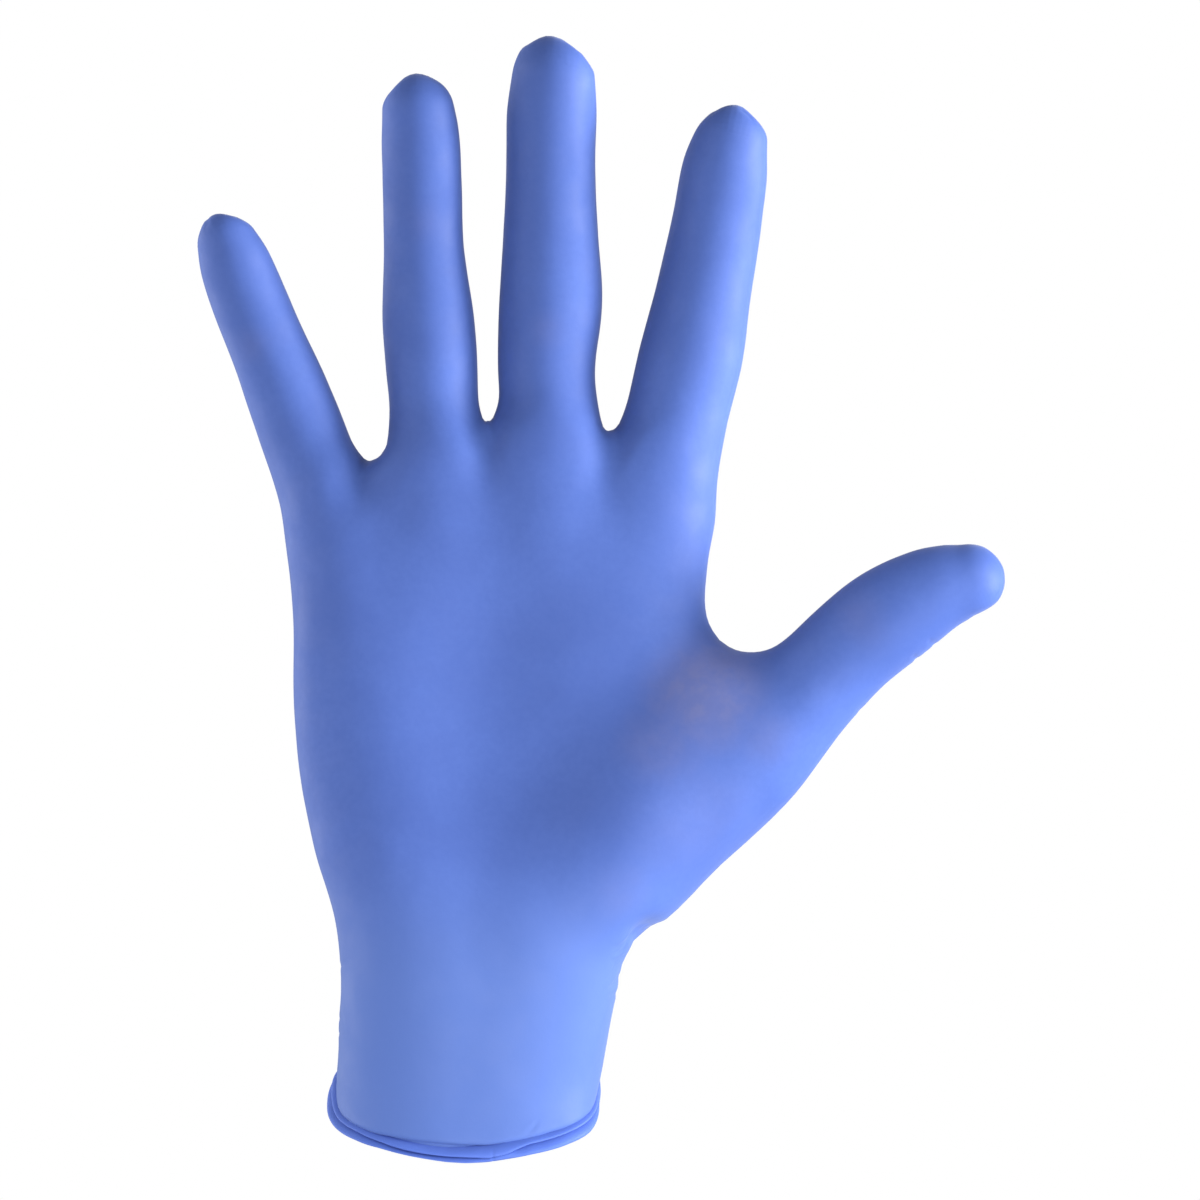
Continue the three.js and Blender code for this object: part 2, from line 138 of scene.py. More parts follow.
def subdivided(mesh, levels):
    """A subdivision surface that goes through the mesh's own vertices."""
    obj = new_object("subdividing", mesh)
    modifier = obj.modifiers.new("Subdivision", "SUBSURF")
    modifier.levels = modifier.render_levels = levels
    wanted = coordinates(mesh)
    cage = wanted.copy()
    for _ in range(CAGE_ROUNDS):
        fine = evaluated_mesh(obj)
        cage += wanted - coordinates(fine)[: len(wanted)]
        set_coordinates(mesh, cage)
        obj.update_tag()
        bpy.context.view_layer.update()
        bpy.data.meshes.remove(fine)
    fine = evaluated_mesh(obj)
    bpy.data.objects.remove(obj)
    return fine


# Creases of the film, in millimetres: from the first place to the second, x across and z up, in the
# palm's side and the back alike. Wide is half the width of the fold and deep its depth.
CREASES = [
    # x, z, to_x, to_z, wide, deep
    (35.6, 35.9, 29.5, 34.0, 0.45, 0.35),
    (34.6, 34.5, 31.0, 33.2, 0.35, 0.25),
    (33.8, 33.2, 30.2, 32.9, 0.4, 0.3),
    (33.0, 31.6, 29.4, 31.4, 0.4, 0.25),
    (32.6, 30.0, 30.0, 30.2, 0.35, 0.2),
    (31.9, 27.3, 29.2, 25.2, 0.4, 0.35),
    (31.6, 24.2, 29.4, 23.6, 0.4, 0.2),
    (-28.4, 29.6, -23.6, 31.4, 0.5, 0.14),
    (-28.2, 18.6, -26.0, 18.2, 0.5, 0.12),
    (-28.2, 15.4, -24.4, 14.7, 0.45, 0.14),
    (-27.8, 5.0, -25.1, 4.3, 0.4, 0.12),
    (-25.9, -2.9, -22.5, -4.7, 0.35, 0.18),
    (-24.1, -4.3, -20.8, -6.4, 0.35, 0.18),
    (14.2, -4.3, 10.3, -7.0, 0.45, 0.16),
    (98.4, 98.6, 97.0, 99.6, 0.6, 0.16),
    (95.0, 95.2, 93.8, 96.4, 0.6, 0.18),
    (83.6, 84.4, 82.0, 85.0, 0.6, 0.1),
    (-55.6, 189.2, -56.6, 185.6, 0.5, 0.15),
    (51.6, 211.2, 53.6, 212.4, 0.45, 0.16),
    (58.4, 211.6, 60.8, 208.4, 0.45, 0.2),
    (12.4, 226.0, 15.8, 228.0, 0.45, 0.15),
]

# Flat places where a fingertip doesn't fill the film: a point on each, in millimetres, the way that
# it faces, in degrees from +X to +Z, how far round it the film is pulled in and how soft its rim is.
FLATS = [
    # x, z, facing, reach, soft
    (-48.8, 188.8, 65, 7, 0.4),
    (-53.5, 190.1, 92, 5, 0.3),
    (-54.9, 189.7, 121, 5, 0.3),
    (-57.0, 186.4, 162, 8, 0.4),
    (-6.6, 218.2, 58, 6, 0.6),
    (-14.2, 218.5, 128, 6, 0.4),
    (-16.7, 216.1, 146, 5, 0.4),
    (14.0, 227.0, 118, 5, 0.4),
    (19.8, 226.7, 65, 6, 0.4),
    (23.8, 223.7, 39, 6, 0.4),
    (110.4, 106.2, -62, 6, 0.4),
    (60.3, 210.4, 44, 8, 0.6),
    (54.8, 212.9, 100, 5, 0.4),
    (51.7, 211.3, 129, 7, 0.4),
]

# Places where the film draws in at the two sides of the wrist, in millimetres
TUCKS = [
    # x, z, wide, deep
    (37.5, 36.4, 3.6, 2.4),
    (35.0, 30.6, 4.2, 1.1),
    (-28.0, 38.5, 12, 0.85),
]

CREASE_BOW = 0.1  # how far a crease bows, as a share of its length
CREASE_START = 1.5  # millimetres over which a crease begins, before its first place
CREASE_FADE = 0.45  # share of its length from which a crease fades
BANK, BANK_PLACE = 0.15, 2.2  # raised film on both sides: share of the depth, half widths away


def creased(co):
    """Depth of the creases at points, in metres, with the film raised a little on both sides."""
    depth = np.zeros(len(co))
    x, z = co[:, 0] / MM, co[:, 2] / MM
    for from_x, from_z, to_x, to_z, wide, deep in CREASES:
        along = np.array([to_x - from_x, to_z - from_z])
        length = np.hypot(*along)
        along = along / length
        dx, dz = x - from_x, z - from_z
        run = dx * along[0] + dz * along[1]
        off = -dx * along[1] + dz * along[0]
        bow = CREASE_BOW * length * np.sin(np.clip(run / length, 0, 1) * np.pi)
        off = (off - bow) / wide
        window = smoothstep(run, -CREASE_START, 0) * (1 - smoothstep(run, CREASE_FADE * length, length))
        shape = np.exp(-off**2) - BANK * np.exp(-((np.abs(off) - BANK_PLACE) ** 2))
        depth += deep * MM * window * shape
    return depth


FLAT_FULL = 0.6  # share of its reach within which a flat place pulls in fully
FLAT_PULL = 0.85  # share by which it pulls in what lies beyond it


def flattened(co):
    """Moves by which flat places pull points in, each along its own direction, in metres."""
    moves = np.zeros((len(co), 3))
    for x, z, facing, reach, soft in FLATS:
        way = np.array([math.cos(math.radians(facing)), 0, math.sin(math.radians(facing))])
        offset = co / MM - (x, 0, z)
        over = offset @ way
        near = 1 - smoothstep(np.hypot(offset[:, 0], offset[:, 2]), FLAT_FULL * reach, reach)
        pulled = soft * np.logaddexp(0, over / soft)
        moves -= np.outer(near * pulled * FLAT_PULL * MM, way)
    return moves


# The film just over the rolled edge, round the mouth: turn is in degrees, with -180 at the little
# finger's side, -90 in front and 0 at the thumb's side. Belly is how far it hangs out over the
# edge, dip how far its last row draws in and lift how far its end is pulled up, in millimetres.
SKIRT = [
    # turn, belly, dip, lift
    (-180, 0.1, 0.1, 0.0),
    (-150, 0.3, 0.1, 0.3),
    (-133, 0.5, 0.1, 0.7),
    (-122, 0.6, 0.1, 1.0),
    (-107, 0.6, 0.1, 0.8),
    (-94, 0.5, 0.1, 0.4),
    (-82, 0.35, 0.15, 0.2),
    (-63, 0.15, 0.2, 0.9),
    (-53, 0.1, 0.2, 1.3),
    (-37, 0.1, 0.2, 0.8),
    (-25, 0.1, 0.2, 0.4),
    (0, 0.1, 0.2, 0.0),
    (90, 0.3, 0.1, 0.2),
    (180, 0.1, 0.1, 0.0),
]
SKIRT_REACH = 9  # millimetres over the rolled edge
SKIRT_RIM = 1  # millimetres over the rolled edge in which the film's outline is measured
DIP_TALL = 0.4  # millimetres over which the last row draws in


def round_mouth(points, rim):
    """Turns of points round the mouth, in degrees, as if its rim were a circle."""
    middle, half = (rim.max(axis=0) + rim.min(axis=0)) / 2, np.ptp(rim, axis=0) / 2
    return np.degrees(np.arctan2(*((points - middle) / half).T[::-1]))


def over_mouth(co):
    """Heights over the plane of the mouth."""
    return co[:, 2] - SLOPE * co[:, 1]


def skirt(co):
    """How far the film's end goes out and up: it bellies out, and its last row draws in."""
    over = (over_mouth(co) - ROLL_HEIGHT) / MM
    turns = round_mouth(co[:, :2], co[over < SKIRT_RIM][:, :2])
    turn, belly, dip, lift = np.array(SKIRT).T
    near = 1 - smoothstep(over, 0, SKIRT_REACH)
    out = near * np.interp(turns, turn, belly)
    out -= np.interp(turns, turn, dip) * np.exp(-((over / DIP_TALL) ** 2))
    return out * MM, near * np.interp(turns, turn, lift) * MM


# Valleys of the palm below the webs: the web's place, the valley's lower end, its half width and
# its depth, all in millimetres
VALLEYS = [
    # x, z, to_x, to_z, wide, deep
    (-20.6, 138.5, -17.5, 118, 6.5, 0.5),
    (3.7, 147.0, 3.2, 130, 4.0, 1.9),
    (30.6, 144.5, 28.0, 129, 4.2, 1.6),
]
PALM_FACING = (0.4, 0.95)  # from none to all of a valley, by how far the film faces out of the palm
VALLEY_START, VALLEY_END = (-0.35, 0.1), (0.2, 1.1)  # shares of its length where it begins and ends


def valleys(co, normals):
    """Depth of the valleys at points that face out of the palm, in metres."""
    depth = np.zeros(len(co))
    x, z = co[:, 0] / MM, co[:, 2] / MM
    front = smoothstep(-normals[:, 1], *PALM_FACING)
    for from_x, from_z, to_x, to_z, wide, deep in VALLEYS:
        run = (from_z - z) / (from_z - to_z)
        off = (x - from_x - run * (to_x - from_x)) / wide
        window = smoothstep(run, *VALLEY_START) * (1 - smoothstep(run, *VALLEY_END))
        depth += deep * MM * front * window * np.exp(-off**2)
    return depth


SIDE_FACING = (0.1, 0.7)  # from none to all of a tuck, by how far the film faces its side


def tucked(co, normals):
    """Depth of the tucks at points that face their side, in metres."""
    depth = np.zeros(len(co))
    for x, z, wide, deep in TUCKS:
        far = np.hypot(co[:, 0] / MM - x, co[:, 2] / MM - z) / wide
        facing = smoothstep(normals[:, 0] * math.copysign(1, x), *SIDE_FACING)
        depth += deep * MM * facing * np.exp(-far**2)
    return depth


# Slight unevenness of the film: height and size of its waves, in millimetres, and a seed
WAVES = [(0.12, 14, 3), (0.04, 5, 7)]


def uneven(co, size, seed):
    """Smooth noise from about -1 to 1 at points, with waves of a size in metres."""
    return np.array([noise.noise(Vector(p / size) + Vector((seed, 0, 0))) for p in co])


def vertex_normals(mesh):
    normals = np.empty(len(mesh.vertices) * 3, np.float32)
    mesh.vertex_normals.foreach_get("vector", normals)
    return normals.reshape(-1, 3).astype(float)


def shaped(mesh):
    """Gives the smooth skin its creases, valleys, tucks, flat fingertips and slight unevenness."""
    co, normals = coordinates(mesh), vertex_normals(mesh)
    out, up = skirt(co)
    out -= creased(co) + valleys(co, normals) + tucked(co, normals)
    out += sum(high * MM * uneven(co, size * MM, seed) for high, size, seed in WAVES)
    moved = co + normals * out[:, None] + flattened(co)
    moved[:, 2] += up
    set_coordinates(mesh, moved)


DETAIL_TOP = ROLL_HEIGHT + 0.0045  # height over the mouth up to which the film has a finer mesh
CREASE_ROOM = 1.2  # millimetres of finer mesh past the ends of a crease
FLAT_ROOM = 0.7  # share of a flat place's reach that has a finer mesh
DETAIL_CUTS, DETAIL_ROUNDS = 2, 8  # cuts in each edge there, and rounds that smooth the new vertices


def detailed_faces(bm):
    """Faces near a crease, a flat fingertip or the rolled edge, which need a finer mesh."""
    places = [(x, z, FLAT_ROOM * reach) for x, z, _, reach, _ in FLATS]
    for x, z, to_x, to_z, _, _ in CREASES:
        room = CREASE_ROOM + math.hypot(to_x - x, to_z - z) / 2
        places.append(((x + to_x) / 2, (z + to_z) / 2, room))
    found = []
    for face in bm.faces:
        middle = face.calc_center_median() / MM
        low = (middle.z - SLOPE * middle.y) * MM < DETAIL_TOP
        if low or any(math.hypot(middle.x - x, middle.z - z) < reach for x, z, reach in places):
            found.append(face)
    return found


def smooth_once(bm, verts):
    bmesh.ops.smooth_vert(
        bm, verts=verts, factor=0.5, use_axis_x=True, use_axis_y=True, use_axis_z=True
    )


def refined(mesh):
    """Splits the detailed faces and smooths the new vertices, but not in the film's end."""
    bm = bmesh.new()
    bm.from_mesh(mesh)
    faces = detailed_faces(bm)
    edges = list(dict.fromkeys(edge for face in faces for edge in face.edges))
    made = bmesh.ops.subdivide_edges(bm, edges=edges, cuts=DETAIL_CUTS, use_grid_fill=True)
    new = [v for v in made["geom_inner"] if isinstance(v, bmesh.types.BMVert)]
    inside = [v for v in new if v.co.z - SLOPE * v.co.y > DETAIL_TOP]
    for _ in range(DETAIL_ROUNDS):
        smooth_once(bm, inside)
    bm.to_mesh(mesh)
    bm.free()


# Places that are made smoother, in millimetres. Palm is 1 where only the palm's side is smoothed.
SMOOTHED = [
    # x, z, reach, palm
    (-23, 129, 14, 1),
    (53, 99, 6, 0),
]
PALM_TURN = 0.85  # film that faces out of the palm by at least this is smoothed in full
FULLY_SMOOTHED = 0.4  # share of its reach within which a place gets every round


def smoothed(mesh, rounds):
    """Smooths the chosen places, with fewer rounds towards their rims."""
    bm = bmesh.new()
    bm.from_mesh(mesh)
    for x, z, reach, palm in SMOOTHED:
        far = {}
        for vertex in bm.verts:
            share = math.hypot(vertex.co.x / MM - x, vertex.co.z / MM - z) / reach
            if share < 1:
                far[vertex] = share + palm * max(0, vertex.normal.y + PALM_TURN)
        for limit in np.linspace(1, FULLY_SMOOTHED, rounds):
            smooth_once(bm, [vertex for vertex, share in far.items() if share < limit])
    bm.to_mesh(mesh)
    bm.free()


# Rows by which the film goes on behind the rolled edge: out from the row before and down, in metres
HEM = [(-0.0004, 0.0002), (-0.0006, 0.0001), (0, 0.0006), (0.0002, 0.0007)]


def hemmed(mesh):
    """Carries the film's edge down behind the rolled edge."""
    bm = bmesh.new()
    bm.from_mesh(mesh)
    for out, down in HEM:
        rim = [edge for edge in bm.edges if edge.is_boundary]
        outwards = {}
        for edge in rim:
            way = edge.link_faces[0].normal.copy()
            way.z = 0
            for vertex in edge.verts:
                outwards[vertex] = outwards.get(vertex, Vector()) + way
        made = bmesh.ops.extrude_edge_only(bm, edges=rim)
        new = [v for v in made["geom"] if isinstance(v, bmesh.types.BMVert)]
        old = list(outwards)
        for vertex in new:
            near = min(old, key=lambda v: (v.co - vertex.co).length_squared)
            vertex.co += outwards[near].normalized() * out
            vertex.co.z -= down
        bm.normal_update()
    bm.to_mesh(mesh)
    bm.free()


FINE, COARSE = 2, 1  # levels of subdivision of the film's outer and inner face
FINE_ROUNDS, COARSE_ROUNDS = 40, 10  # rounds that smooth places of both by the same amount


def make_film():
    outer = subdivided(outer_skin(), FINE)
    inner = subdivided(outer_skin(), COARSE)
    refined(outer)
    for mesh, rounds in ((outer, FINE_ROUNDS), (inner, COARSE_ROUNDS)):
        smoothed(mesh, rounds)
        shaped(mesh)
    set_coordinates(inner, coordinates(inner) - vertex_normals(inner) * FILM)
    for mesh in (outer, inner):
        hemmed(mesh)
    inner.flip_normals()
    bm = bmesh.new()
    bm.from_mesh(outer)
    bm.from_mesh(inner)
    bmesh.ops.bridge_loops(bm, edges=[edge for edge in bm.edges if edge.is_boundary])
    mesh = bpy.data.meshes.new("glove_film")
    bm.to_mesh(mesh)
    bm.free()
    return smooth_object("glove_film", mesh)


# The rolled edge round the mouth: a thin lip over a fatter roll, with a crease between them. Turn
# is as for the skirt, and the lengths are in millimetres: how far the roll and the lip stand out
# of the film, how tall both are together, how far they are lifted and how high the crease is.
# Parted is 1 where the crease is deep and 0 where lip and roll are one.
ROLL = [
    # turn, thick, lip, tall, lift, crease, parted
    (-180, 2.1, 1.2, 3.8, 0.1, 2.2, 1.0),
    (-160, 2.0, 1.1, 2.8, 0.7, 1.7, 1.0),
    (-139, 1.8, 1.1, 2.4, 1.6, 1.5, 1.0),
    (-127, 1.6, 1.2, 2.1, 1.8, 1.0, 1.0),
    (-117, 1.5, 1.4, 2.1, 1.5, 0.6, 1.0),
    (-107, 1.5, 1.4, 2.1, 0.9, 0.7, 1.0),
    (-98, 1.6, 1.4, 2.3, 0.4, 0.9, 0.9),
    (-90, 1.7, 1.5, 2.7, 0.1, 1.1, 0.7),
    (-81, 1.6, 1.5, 3.1, 0.0, 1.2, 0.2),
    (-72, 1.5, 1.4, 3.4, 0.4, 1.7, 0.1),
    (-63, 1.5, 1.0, 3.3, 1.0, 2.1, 1.0),
    (-53, 1.4, 0.9, 3.3, 1.1, 2.2, 1.0),
    (-44, 1.3, 0.9, 3.5, 1.0, 2.4, 0.9),
    (-30, 1.3, 0.8, 3.8, 0.5, 2.5, 0.8),
    (-14, 1.0, 0.6, 3.6, 0.2, 2.3, 0.7),
    (0, 0.7, 0.5, 3.4, 0.1, 2.0, 0.6),
    (40, 1.0, 0.8, 3.1, 0.2, 1.7, 0.3),
    (90, 1.5, 1.1, 3.2, 0.1, 1.6, 0.6),
    (140, 1.8, 1.2, 3.4, 0.1, 1.8, 0.8),
    (180, 2.1, 1.2, 3.8, 0.1, 2.2, 1.0),
]
ROLL_STEPS = 640
LIP_STEPS, FAT_STEPS, INNER_STEPS = 14, 16, 8
RING_ROUNDS, TABLE_ROUNDS = 6, 9  # rounds that smooth the ring under the roll and the table's values

# How far out of the film the section's top, fold, bottom and inner side stand, in millimetres, and
# the two ends of its outer side where lip and roll are one
TOP_OUT, FOLD_OUT, BOTTOM_OUT, INNER_OUT, ONE_OUT = -0.8, -0.9, -0.3, -1.8, -0.4

# Unevenness of the rolled edge: the size of its two waves and the distance between them in the noise,
# in metres, then how much they change the roll and the lip as shares, and the crease in millimetres
WAVE_SIZE, WAVE_APART = 0.006, 0.05
ROLL_WAVE, LIP_WAVE, CREASE_WAVE = 0.1, 0.15, 0.1
SEAM_TURN, SEAM_WIDE, SEAM_DEEP = -78.5, 0.5, 0.1  # a small tuck: degrees, degrees and millimetres


def blurred(values, rounds):
    """Rows of values round a ring, each mixed with its neighbours."""
    for _ in range(rounds):
        values = values / 2 + (np.roll(values, 1, axis=0) + np.roll(values, -1, axis=0)) / 4
    return values


def mouth_ring(mesh):
    """Even steps round the skin's open edge, level outward directions there, and the turns."""
    bm = bmesh.new()
    bm.from_mesh(mesh)
    edge = next(edge for edge in bm.edges if edge.is_boundary)
    start, vertex = edge.verts
    ring = [start.co.copy()]
    while vertex != start:
        ring.append(vertex.co.copy())
        edge = next(e for e in vertex.link_edges if e.is_boundary and e != edge)
        vertex = edge.other_vert(vertex)
    bm.free()
    points = np.array(ring)[:, :2]
    points = np.vstack([points, points[:1]])
    far = np.concatenate([[0], np.cumsum(np.linalg.norm(np.diff(points, axis=0), axis=1))])
    steps = np.linspace(0, far[-1], ROLL_STEPS, endpoint=False)
    even = np.stack([np.interp(steps, far, points[:, k]) for k in (0, 1)], axis=1)
    even = blurred(even, RING_ROUNDS)
    along = np.roll(even, -1, axis=0) - np.roll(even, 1, axis=0)
    out = np.stack([along[:, 1], -along[:, 0]], axis=1)
    out /= np.linalg.norm(out, axis=1)[:, None]
    if (out * even).sum() < 0:
        out = -out
    return even, out, round_mouth(even, even)


def lobe(start, end, proud, steps):
    """Points round a half ellipse, from a start to just before an end, that stands out to proud."""
    turn = np.linspace(0, np.pi, steps, endpoint=False)
    share = (1 - np.cos(turn)) / 2
    bulge = proud - (start[0] + end[0]) / 2
    out = start[0] + (end[0] - start[0]) * share + bulge * np.sin(turn)
    up = start[1] + (end[1] - start[1]) * share
    return out, up


def roll_section(thick, lip, tall, crease, parted):
    """Out and up of a section of the rolled edge, in millimetres, from its top round by the outside."""
    top, fold, bottom = (TOP_OUT, tall), (FOLD_OUT, crease), (BOTTOM_OUT, 0)
    upper = lobe(top, fold, lip, LIP_STEPS)
    lower = lobe(fold, bottom, thick, FAT_STEPS)
    inner = lobe(bottom, top, INNER_OUT, INNER_STEPS)
    out, up = (np.concatenate(parts) for parts in zip(upper, lower))
    roundness = np.sqrt(np.clip(1 - (2 * up / tall - 1) ** 2, 0, 1))
    one = ((thick + lip) / 2 - ONE_OUT) * roundness + ONE_OUT
    out = one + (out - one) * parted
    return np.concatenate([out, inner[0]]), np.concatenate([up, inner[1]])


def make_roll():
    skin = subdivided(outer_skin(), FINE)
    ring, outwards, turns = mouth_ring(skin)
    bpy.data.meshes.remove(skin)
    turn_column, *columns = np.array(ROLL).T
    values = [np.interp(turns, turn_column, column) for column in columns]
    order = np.argsort(turns)
    for value in values:
        value[order] = blurred(value[order], TABLE_ROUNDS)
    co = []
    for point, out_way, turn, row in zip(ring, outwards, turns, zip(*values)):
        thick, lip, tall, lift, crease, parted = row
        wave, ripple = (noise.noise(Vector((*point, z)) / WAVE_SIZE) for z in (0, WAVE_APART))
        tuck = SEAM_DEEP * math.exp(-(((turn - SEAM_TURN) / SEAM_WIDE) ** 2))
        thick = thick * (1 + ROLL_WAVE * wave) - tuck
        lip = lip * (1 + LIP_WAVE * ripple) - tuck
        out, up = roll_section(thick, lip, tall, crease + CREASE_WAVE * ripple, parted)
        sides = point + np.outer(out * MM, out_way)
        height = SLOPE * sides[:, 1] + (up + lift) * MM
        co.append(np.column_stack([sides, height]))
    co = np.concatenate(co)
    faces = []
    section = LIP_STEPS + FAT_STEPS + INNER_STEPS
    for i in range(ROLL_STEPS):
        here, there = i * section, (i + 1) % ROLL_STEPS * section
        for j in range(section):
            after = (j + 1) % section
            faces.append((here + j, here + after, there + after, there + j))
    mesh = bpy.data.meshes.new("rolled_edge")
    mesh.from_pydata(co.tolist(), [], faces)
    bm = bmesh.new()
    bm.from_mesh(mesh)
    bmesh.ops.recalc_face_normals(bm, faces=bm.faces[:])
    bm.to_mesh(mesh)
    bm.free()
    return smooth_object("rolled_edge", mesh)


film = make_film()
roll = make_roll()
for piece in (film, roll):
    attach(piece, "root")
    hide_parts("glove")

# Places where the film is stretched thin and looks pale, in millimetres
BLUSHES = [
    # x, y, z, reach, strength
    (51, -18, 87, 18, 0.72),
    (62, -20, 80, 11, 0.35),
    (42, -20, 76, 14, 0.35),
    (48, -24, 63, 20, 0.1),
    (84, -24, 104, 9, 0.3),
    (33, -26, 46, 9, 0.1),
    (17, -17, 165, 6, 0.12),
    (-46, -14, 162, 6, 0.12),
    (-9, -16, 188, 6, 0.1),
]
BLUSH_FULL = 0.15  # share of its reach within which a pale place is palest
PAINTED_LIGHT_CUFF_FADE = (0.022, 0.06)  # heights in metres between which the cuff's paler blue, which is painted light, ends

# Colours of the film: clouds of two blues, dark specks, its thin places and a paler blue at the cuff,
# which is painted light standing in for the brighter light there, then the rolled edge, which is many
# layers of film, so that its blue is deeper
BLUE, LIGHT_BLUE = (0.052, 0.1, 0.345, 1), (0.058, 0.111, 0.375, 1)
SPECK_BLUE = (0.04, 0.085, 0.32, 1)
THIN_BLUE = (0.155, 0.158, 0.31, 1)
# Painted light: the cuff's paler blue stands in for the brighter light that falls on the cuff
PAINTED_LIGHT_CUFF_BLUE = (0.069, 0.128, 0.385, 1)
ROLL_BLUE = (0.066, 0.128, 0.47, 1)
SHEEN_BLUE = (0.75, 0.82, 1, 1)

# Sizes of the clouds in the material, as the scale of its noise
CLOUD_SCALE, MOTTLE_SCALE, SPECK_SCALE = 45, 230, 700
GLOSS_SCALE, WAVE_SCALE, GRAIN_SCALE = 160, 260, 2600

MOTTLE_LEAST = 0.68  # share of its paleness that a pale place keeps where it is mottled most
SPECK_MOST = 0.25  # share of their colour that the specks have at most
ROUGHNESS = (0.58, 0.7)
GRAIN_TALL, WAVE_TALL = 0.00004, 0.00015  # metres


def nitrile(name, painted_cuff_light_and_roll_blue):
    """The film's material, with a given colour towards the mouth: on the film a paler blue that is
    painted light, on the rolled edge the deeper blue of its many layers.
    """
    material = bpy.data.materials.new(name)
    material.use_nodes = True
    nodes, links = material.node_tree.nodes, material.node_tree.links
    shader = nodes["Principled BSDF"]

    def node(kind, **inputs):
        made = nodes.new(kind)
        for socket, value in inputs.items():
            made.inputs[socket].default_value = value
        return made

    def maths(kind, a, b):
        made = nodes.new("ShaderNodeMath")
        made.operation = kind
        links.new(a, made.inputs[0])
        links.new(b, made.inputs[1])
        return made.outputs[0]

    place = nodes.new("ShaderNodeTexCoord").outputs["Object"]

    def clouds(scale, detail, rough=0.5):
        made = node("ShaderNodeTexNoise", Scale=scale, Detail=detail, Roughness=rough)
        links.new(place, made.inputs["Vector"])
        return made.outputs["Fac"]

    def mixed(share, a, b):
        made = nodes.new("ShaderNodeMix")
        made.data_type = "RGBA"
        links.new(share, made.inputs["Factor"])
        for socket, value in zip((made.inputs["A"], made.inputs["B"]), (a, b)):
            if isinstance(value, tuple):
                socket.default_value = value
            else:
                links.new(value, socket)
        return made.outputs["Result"]

    def ranged(value, low, high, to_low, to_high):
        made = nodes.new("ShaderNodeMapRange")
        made.interpolation_type = "SMOOTHSTEP"
        links.new(value, made.inputs["Value"])
        made.inputs["From Min"].default_value = low
        made.inputs["From Max"].default_value = high
        made.inputs["To Min"].default_value = to_low
        made.inputs["To Max"].default_value = to_high
        return made.outputs["Result"]

    blush = None
    mottle = ranged(clouds(MOTTLE_SCALE, 4, 0.6), 0.38, 0.62, MOTTLE_LEAST, 1)
    for x, y, z, reach, strength in BLUSHES:
        far = nodes.new("ShaderNodeVectorMath")
        far.operation = "DISTANCE"
        links.new(place, far.inputs[0])
        far.inputs[1].default_value = (x * MM, y * MM, z * MM)
        one = ranged(far.outputs["Value"], BLUSH_FULL * reach * MM, reach * MM, strength, 0)
        blush = one if blush is None else maths("MAXIMUM", blush, one)
    blush = maths("MULTIPLY", blush, mottle)

    colour = mixed(ranged(clouds(CLOUD_SCALE, 3), 0.35, 0.65, 0, 1), BLUE, LIGHT_BLUE)
    colour = mixed(ranged(clouds(SPECK_SCALE, 3), 0.3, 0.7, 0, SPECK_MOST), colour, SPECK_BLUE)
    height = nodes.new("ShaderNodeSeparateXYZ")
    links.new(place, height.inputs[0])
    # Towards the mouth the film takes a paler blue that is painted light for the brighter light on the
    # cuff; the rolled edge takes its own deeper blue there
    painted_cuff_light_and_roll_share = ranged(height.outputs["Z"], *PAINTED_LIGHT_CUFF_FADE, 1, 0)
    colour = mixed(painted_cuff_light_and_roll_share, colour, painted_cuff_light_and_roll_blue)
    colour = mixed(blush, colour, THIN_BLUE)
    links.new(colour, shader.inputs["Base Color"])

    rough = ranged(clouds(GLOSS_SCALE, 4), 0.3, 0.7, *ROUGHNESS)
    links.new(rough, shader.inputs["Roughness"])
    grain = node("ShaderNodeBump", Strength=0.25, Distance=GRAIN_TALL)
    links.new(clouds(GRAIN_SCALE, 3, 0.6), grain.inputs["Height"])
    waves = node("ShaderNodeBump", Strength=0.4, Distance=WAVE_TALL)
    links.new(clouds(WAVE_SCALE, 4), waves.inputs["Height"])
    links.new(grain.outputs["Normal"], waves.inputs["Normal"])
    links.new(waves.outputs["Normal"], shader.inputs["Normal"])
    shader.inputs["Specular IOR Level"].default_value = 0.3
    shader.inputs["Sheen Weight"].default_value = 0.2
    shader.inputs["Sheen Roughness"].default_value = 0.4
    shader.inputs["Sheen Tint"].default_value = SHEEN_BLUE
    return material


# The film's cuff gets a paler blue that is painted light; the rolled edge gets the deeper blue of its
# layers
for piece, painted_cuff_light_and_roll_blue in ((film, PAINTED_LIGHT_CUFF_BLUE), (roll, ROLL_BLUE)):
    piece.data.materials.clear()
    piece.data.materials.append(nitrile(piece.name, painted_cuff_light_and_roll_blue))


def make_camera():
    data = bpy.data.cameras.new("camera")
    data.sensor_width = SENSOR
    data.lens = SENSOR * CAMERA_DISTANCE / (PIXEL * PHOTO_SIDE)
    camera = new_object("camera", data)
    across = (PHOTO_SIDE / 2 - ORIGIN_PIXEL[0]) * PIXEL
    up = (ORIGIN_PIXEL[1] - PHOTO_SIDE / 2) * PIXEL
    camera.location = (across, -CAMERA_DISTANCE, up)
    camera.rotation_euler = (math.pi / 2, 0, 0)
    bpy.context.scene.camera = camera


MIDDLE = (0.028, 0, 0.11)  # of the glove, in metres

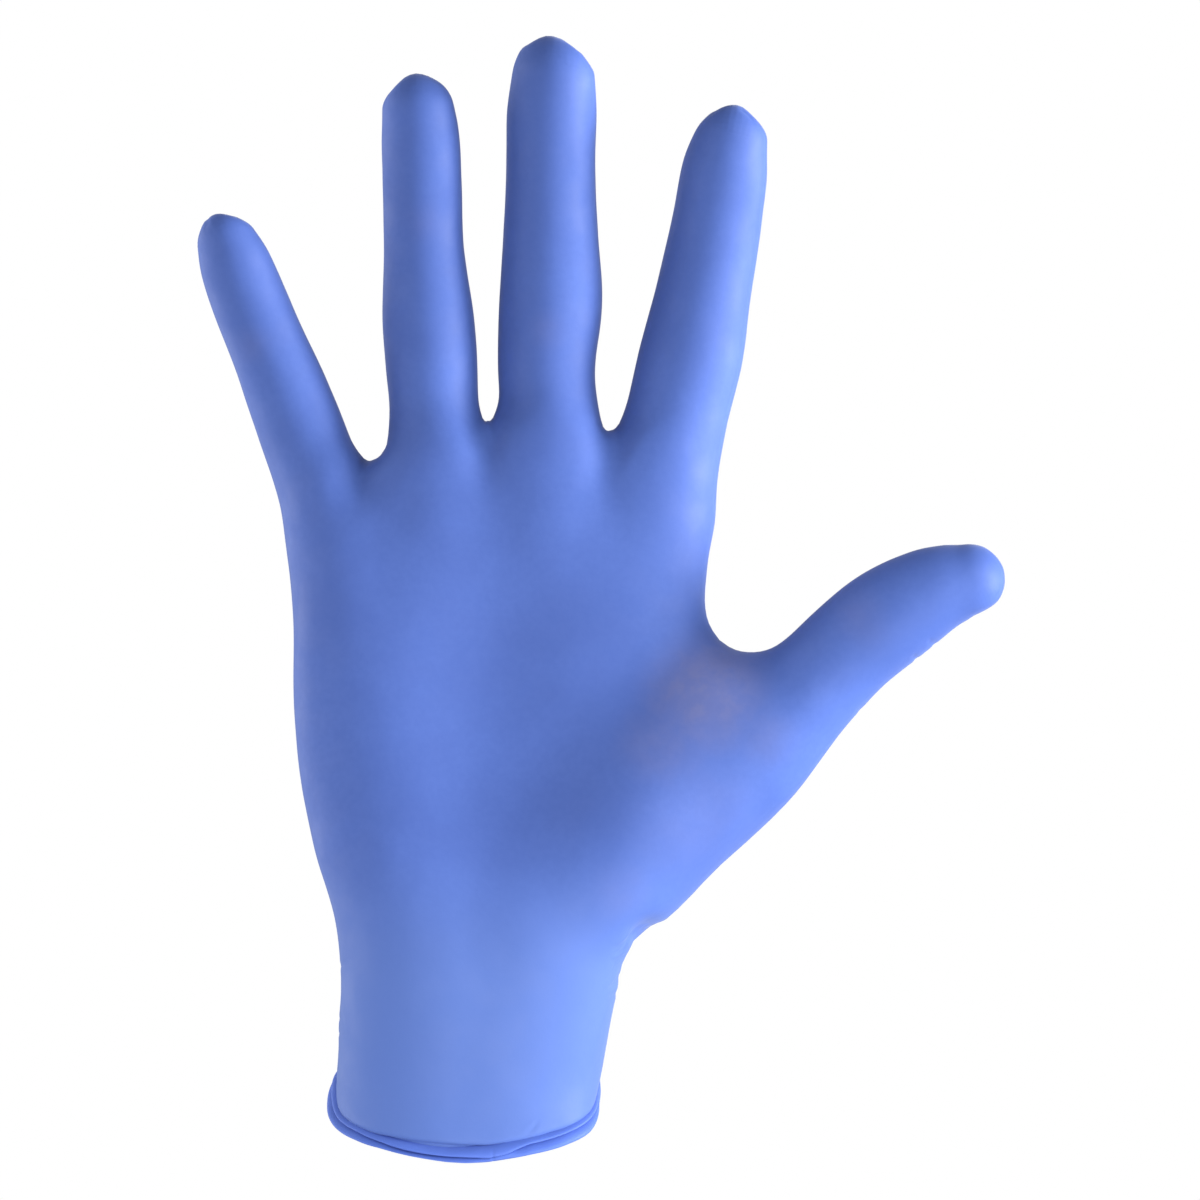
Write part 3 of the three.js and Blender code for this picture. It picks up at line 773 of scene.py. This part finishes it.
# Lights, in metres, watts and degrees
LIGHTS = [
    # name, place, target, size, power, spread
    ("key", (0.68, -0.1, 0.16), (0.06, 0, 0.16), (0.4, 0.4), 1.4, 38),
    ("side", (0.3, -0.3, 0.15), (0.05, -0.02, 0.11), (0.25, 0.25), 0.95, 180),
    ("low", (0.06, -0.22, -0.12), (0.0, -0.02, 0.02), (0.16, 0.16), 0.6, 180),
    ("front", (-0.55, -0.42, 0.25), MIDDLE, (0.5, 0.6), 1.8, 180),
    ("fill", (-0.5, 0.12, 0.12), MIDDLE, (0.4, 0.6), 3, 180),
]
WORLD_LIGHT = 0.41  # strength of the world as a light; to the camera it is white
FLOOR_SIDE, FLOOR_HEIGHT, FLOOR_GLOW = 10, -0.35, 0.4


def area_light(name, place, target, size, power, spread):
    data = bpy.data.lights.new(name, "AREA")
    data.shape = "RECTANGLE"
    data.size, data.size_y = size
    data.energy = power
    data.spread = math.radians(spread)
    light = new_object(name, data)
    light.location = place
    light.rotation_mode = "QUATERNION"
    light.rotation_quaternion = (Vector(target) - Vector(place)).to_track_quat("-Z", "Y")
    light.visible_camera = False


def make_studio():
    scene = bpy.context.scene
    scene.view_settings.view_transform = "Standard"
    world = bpy.data.worlds.new("world")
    world.use_nodes = True
    nodes, links = world.node_tree.nodes, world.node_tree.links
    background = nodes["Background"]
    background.inputs["Color"].default_value = (1, 1, 1, 1)
    seen = nodes.new("ShaderNodeLightPath").outputs["Is Camera Ray"]
    strength = nodes.new("ShaderNodeMapRange")
    links.new(seen, strength.inputs["Value"])
    strength.inputs["To Min"].default_value = WORLD_LIGHT
    links.new(strength.outputs["Result"], background.inputs["Strength"])
    scene.world = world
    bpy.ops.mesh.primitive_plane_add(size=FLOOR_SIDE, location=(0, 0, FLOOR_HEIGHT))
    floor = bpy.context.object
    floor.name = "floor"
    material = bpy.data.materials.new("floor")
    material.use_nodes = True
    shader = material.node_tree.nodes["Principled BSDF"]
    shader.inputs["Base Color"].default_value = (0.9, 0.9, 0.9, 1)
    shader.inputs["Roughness"].default_value = 0.9
    shader.inputs["Emission Color"].default_value = (1, 1, 1, 1)
    shader.inputs["Emission Strength"].default_value = FLOOR_GLOW
    floor.data.materials.append(material)
    floor.visible_diffuse = floor.visible_glossy = False
    for light in LIGHTS:
        area_light(*light)


make_camera()
make_studio()
